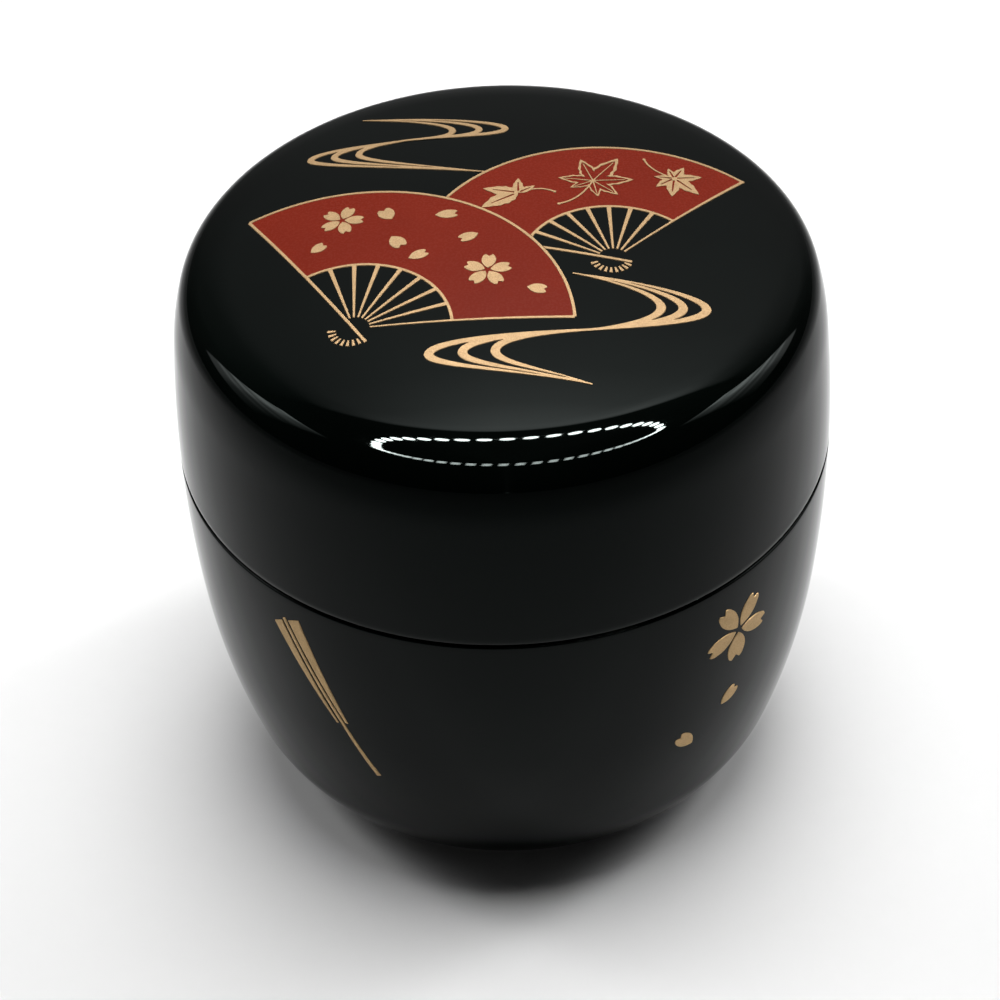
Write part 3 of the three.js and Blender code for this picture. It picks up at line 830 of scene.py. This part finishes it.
def build_fans():
    cover = [fan_cover(FRONT_FAN, LINE / 2)]
    for name, fan, holes in (("front_fan", FRONT_FAN, []), ("rear_fan", REAR_FAN, cover)):
        shapes = [fan_leaf(fan)]
        leaf = raised(
            f"{name}_leaf_red", shapes, on_lid, RED_LIFT, holes, LEAF_SPACING, FINE_BEVEL)
        fit_out(leaf, RED, "red_lacquer", "lid_body", f"{name}_leaf")
    gold_on_lid("front_fan_frame", fan_lines(FRONT_FAN) + [long_guard(FRONT_FAN)], LINE_LIFT)
    gold_on_lid("rear_fan_frame", fan_lines(REAR_FAN), LINE_LIFT, cover)
    gold_on_lid("rear_fan_guard", [long_guard(REAR_FAN)], LINE_LIFT, cover)
    gold_on_lid("front_fan_tail", fan_tail(FRONT_TAIL), LINE_LIFT)
    gold_on_lid("rear_fan_tail", fan_tail(REAR_TAIL), LINE_LIFT)


def build_blossoms():
    gold_on_lid("front_blossom_left", blossom(*LEFT_BLOSSOM), TOP_LIFT)
    gold_on_lid("front_blossom_right", blossom(*RIGHT_BLOSSOM), TOP_LIFT)
    for i, data in enumerate(LOOSE_PETALS):
        gold_on_lid(f"front_petal_{i + 1}", [loose_petal(*data)], TOP_LIFT)


def build_maples():
    cover = [fan_cover(FRONT_FAN, LINE / 2)]
    shapes, veins = filled_maple(LEFT_MAPLE)
    gold_on_lid("maple_left", shapes, TOP_LIFT, veins + cover, FINE_BEVEL)
    shapes, veins = filled_maple(RIGHT_MAPLE)
    gold_on_lid("maple_right", shapes, TOP_LIFT, veins, FINE_BEVEL)
    shapes, hollow, lines = outlined_maple(MIDDLE_MAPLE)
    gold_on_lid("maple_middle", shapes, TOP_LIFT, hollow, FINE_BEVEL)
    gold_on_lid("maple_middle", lines, TOP_LIFT, (), FINE_BEVEL, "maple_middle_veins_gold")


def build_streams():
    gold_on_lid("stream_upper", stream(UPPER_STREAM), LINE_LIFT)
    gold_on_lid("stream_lower", stream(LOWER_STREAM), LINE_LIFT)


def gold_on_cup(node, shapes, azimuth):
    piece = raised(f"{node}_gold", shapes, on_cup(azimuth), LINE_LIFT, (), CUP_SPACING)
    # the cup's pictures take the copy of the gold that is painted lighter: painted light
    fit_out(piece, CUP_GOLD_PAINTED_LIGHTER, "gold_lacquer", "cup_body", node)


def build_pictures_on_cup():
    for node, corners in FOLDED_FAN.items():
        gold_on_cup(node, [corners], FOLDED_FAN_AZIMUTH)
    petals = [blossom_petal(CUP_BLOSSOM_CENTRE, *shape) for shape in CUP_BLOSSOM_PETALS]
    gold_on_cup("cup_blossom", petals, CUP_BLOSSOM_AZIMUTH)
    for node, data in (("cup_petal", CUP_PETAL), ("cup_heart_petal", HEART_PETAL)):
        shape = loose_petal(data["at"], data["angle"], data["length"], data["width"])
        gold_on_cup(node, [shape], data["azimuth"])


build_shells()
build_fans()
build_blossoms()
build_maples()
build_streams()
build_pictures_on_cup()

# ---- stage: floor, light and camera ----

CAMERA_RISE = 40.84  # degrees above the horizontal
CAMERA_DISTANCE = 375.83
AIM = Vector((-0.72, 0, SEAM - 10.89))
CAMERA_ROLL = -2.14
LENS = 132.85
SENSOR = 36
CLIP_START = 0.01  # metres


def camera_axes(place):
    forward = (AIM - place).normalized()
    right = forward.cross(Vector((0, 0, 1))).normalized()
    up = right.cross(forward)
    c, s = math.cos(math.radians(CAMERA_ROLL)), math.sin(math.radians(CAMERA_ROLL))
    return right * c + up * s, up * c - right * s, forward


def add_camera():
    rise = math.radians(CAMERA_RISE)
    place = Vector((0, -math.cos(rise), math.sin(rise))) * CAMERA_DISTANCE + Vector((0, 0, SEAM))
    right, up, forward = camera_axes(place)
    data = bpy.data.cameras.new("camera")
    data.lens = LENS
    data.sensor_width = SENSOR
    data.clip_start = CLIP_START
    camera = bpy.data.objects.new("camera", data)
    bpy.context.scene.collection.objects.link(camera)
    turn = Matrix((right, up, -forward)).transposed().to_4x4()
    camera.matrix_world = Matrix.Translation(place * MM) @ turn
    bpy.context.scene.camera = camera
    return place, right, up


FLOOR_HALF = 6000
FLOOR_PAINTED_FALLOFF = [(0.13, 0.81), (0.19, 0.55), (0.4, 0.42)]  # metres from the caddy, and how light the floor is painted there: a painted falloff of the light


def add_floor():
    size = FLOOR_HALF
    corners = [(-size, -size, 0), (size, -size, 0), (size, size, 0), (-size, size, 0)]
    floor = add_mesh("floor", corners, [(0, 1, 2, 3)])
    material, make, place = new_material("floor_paper_painted_falloff")
    fibre = noise(make, place, scale=400.0, detail=3.0)
    paper = ramp(make, fibre, [(0.3, grey(0.993)), (0.7, grey(1.0))])
    # The floor is painted paler near the caddy and darker further off: a painted falloff that
    # stands in for the light dropping away from the caddy.
    reach = make("ShaderNodeVectorMath", operation="DISTANCE", Vector=place).outputs["Value"]
    painted_falloff = ramp(make, reach, greys(FLOOR_PAINTED_FALLOFF))
    shade(material, mixed(make, "MULTIPLY", paper, painted_falloff), rough=0.9, specular=0.1)
    floor.data.materials.append(material)


# A ring of small lamps above the camera, in the plane that faces the caddy, seen as sparks in
# the gloss, and one wide lamp a little lower in that plane, which lights the floor.
RING_RIGHT, RING_UP = 10, 620
RING_HALF_WIDTH, RING_HALF_HEIGHT = 247, 310
FAR_LAMPS, NEAR_LAMPS = 20, 32  # in each row, on the ring's far and near halves
ROWS = (-1, 0, 1)
ROW_STEP, ROW_DROP = 21, 5  # how much taller the ring's outer row is, and how much lower it lies
FAR_SIZE, NEAR_SIZE = 26, 15.5
RING_POWER = 2.7  # watts in all, shared out by the lamps' areas
LAMP_SPREAD = 60
KEY_SIZE = 560
KEY_POWER = 0.9
KEY_UP = 580
POOL_CENTRE = Vector((0, 120, 0))  # where every lamp points


def add_lamp(name, spot, size, power):
    data = bpy.data.lights.new(name, "AREA")
    data.shape = "DISK"
    data.size = size * MM
    data.energy = power
    data.spread = math.radians(LAMP_SPREAD)
    lamp = bpy.data.objects.new(name, data)
    lamp.location = spot * MM
    lamp.rotation_euler = (POOL_CENTRE - spot).to_track_quat("-Z", "Y").to_euler()
    bpy.context.scene.collection.objects.link(lamp)
    return lamp


def add_lamps(place, right, up):
    """The ring and the wide lamp, in the plane through the camera that faces the caddy."""
    turns = [math.pi * i / FAR_LAMPS for i in range(FAR_LAMPS)]
    turns += [math.pi * (1 + i / NEAR_LAMPS) for i in range(NEAR_LAMPS)]
    spots = [(turn, row) for turn in turns for row in ROWS]
    sizes = [NEAR_SIZE + (FAR_SIZE - NEAR_SIZE) * (1 + math.sin(turn)) / 2 for turn, row in spots]
    whole = sum(size ** 2 for size in sizes)
    for i, (turn, row) in enumerate(spots):
        across = RING_RIGHT + RING_HALF_WIDTH * math.cos(turn)
        above = RING_UP - ROW_DROP * row + (RING_HALF_HEIGHT + ROW_STEP * row) * math.sin(turn)
        power = RING_POWER * sizes[i] ** 2 / whole
        spark = add_lamp(f"lamp_{i}", place + right * across + up * above, sizes[i], power)
        spark.visible_diffuse = False
    key = add_lamp("key", place + right * RING_RIGHT + up * KEY_UP, KEY_SIZE, KEY_POWER)
    key.visible_glossy = False


# The room as the gloss sees it: brightness up the back wall, up a panel on it and up two side
# panels, as shares of the peak, where a position is half the tangent of the angle above the
# horizon; and how each of them fades sideways, where a position is a quarter of the tangent of
# the angle from the middle for the back wall and its panel, and for a side panel the tangent of
# the angle towards the back, moved by SIDE_SHIFT.
WORLD_PEAK = 20.0
AMBIENT = 0.001
HEIGHT_SCALE, BACK_SCALE = 2, 4
LEAST = 0.02  # keeps the divisions finite
BACK_WALL = [
    (0.0, 0.013), (0.106, 0.0155), (0.22, 0.025), (0.36, 0.042), (0.55, 0.06), (0.8, 0.048),
    (0.9, 0.032), (0.95, 0.006),
]
BACK_EDGE = [
    (0.0, 1.0), (0.09, 0.95), (0.145, 0.65), (0.2, 0.3), (0.3, 0.12), (0.5, 0.09), (0.6, 0.04),
    (1.0, 0.0),
]
PANEL = [
    (0.36, 0.0), (0.55, 0.02), (0.69, 0.07), (0.8, 0.15), (0.9, 0.34), (0.93, 0.32),
    (0.965, 0.0),
]
PANEL_EDGE = [(0.0, 1.0), (0.05, 0.95), (0.1, 0.6), (0.15, 0.2), (0.22, 0.0)]
PANEL_SHIFT = 0.18
SIDE_PANEL = [
    (0.19, 0.0), (0.21, 0.15), (0.3, 0.2), (0.34, 0.5), (0.4, 0.25), (0.46, 0.85), (0.5, 0.4),
    (0.6, 1.0), (0.7, 0.6), (0.78, 1.0), (0.8, 0.0),
]
SIDE_EDGE = [(0.4, 0.0), (0.55, 0.2), (0.7, 0.4), (0.8, 0.9), (0.97, 1.0), (1.0, 0.0)]
SIDE_SHIFT = 0.4
SIDE_SHARES = [(0.45, 0.75), (0.55, 1.0)]  # the left panel is weaker than the right one


def calc(make, operation, *values):
    """Result of a math node on numbers and on other nodes' outputs."""
    node = make("ShaderNodeMath", operation=operation)
    for socket, value in zip(node.inputs, values):
        if isinstance(value, bpy.types.NodeSocket):
            node.id_data.links.new(value, socket)
        else:
            socket.default_value = value
    return node.outputs[0]


def patch(make, height, heights, beside, edges):
    """Brightness by height, times how it fades sideways."""
    bright = ramp(make, height, greys(heights))
    return mixed(make, "MULTIPLY", bright, ramp(make, beside, greys(edges)))


def back_light(make, x, y, z):
    backwards = calc(make, "MAXIMUM", y, LEAST)
    height = calc(make, "DIVIDE", calc(make, "DIVIDE", z, backwards), HEIGHT_SCALE)
    across = calc(make, "SUBTRACT", calc(make, "DIVIDE", x, backwards), PANEL_SHIFT)
    across = calc(make, "ABSOLUTE", calc(make, "DIVIDE", across, BACK_SCALE))
    wall = patch(make, height, BACK_WALL, across, BACK_EDGE)
    return mixed(make, "ADD", wall, patch(make, height, PANEL, across, PANEL_EDGE))


def side_light(make, x, y, z):
    sideways = calc(make, "MAXIMUM", calc(make, "ABSOLUTE", x), LEAST)
    height = calc(make, "DIVIDE", calc(make, "DIVIDE", z, sideways), HEIGHT_SCALE)
    along = calc(make, "ADD", calc(make, "DIVIDE", y, sideways), SIDE_SHIFT)
    panels = patch(make, height, SIDE_PANEL, along, SIDE_EDGE)
    rightness = calc(make, "ADD", calc(make, "DIVIDE", x, 2), 0.5)  # from 0 to 1
    return mixed(make, "MULTIPLY", panels, ramp(make, rightness, greys(SIDE_SHARES)))


def add_world():
    """Light from a back wall and two side panels, brighter towards their tops; dark elsewhere."""
    world = bpy.data.worlds.new("studio")
    bpy.context.scene.world = world
    world.use_nodes = True
    tree = world.node_tree
    make = node_maker(tree)
    direction = make("ShaderNodeTexCoord").outputs["Generated"]
    parts = make("ShaderNodeSeparateXYZ", Vector=direction)
    axes = [parts.outputs[axis] for axis in "XYZ"]
    light = mixed(make, "ADD", back_light(make, *axes), side_light(make, *axes))
    light = mixed(make, "ADD", light, (*grey(AMBIENT), 1))
    background = tree.nodes["Background"]
    tree.links.new(light, background.inputs["Color"])
    background.inputs["Strength"].default_value = WORLD_PEAK


add_floor()
add_world()
add_lamps(*add_camera())
bpy.context.scene.view_settings.view_transform = "Standard"
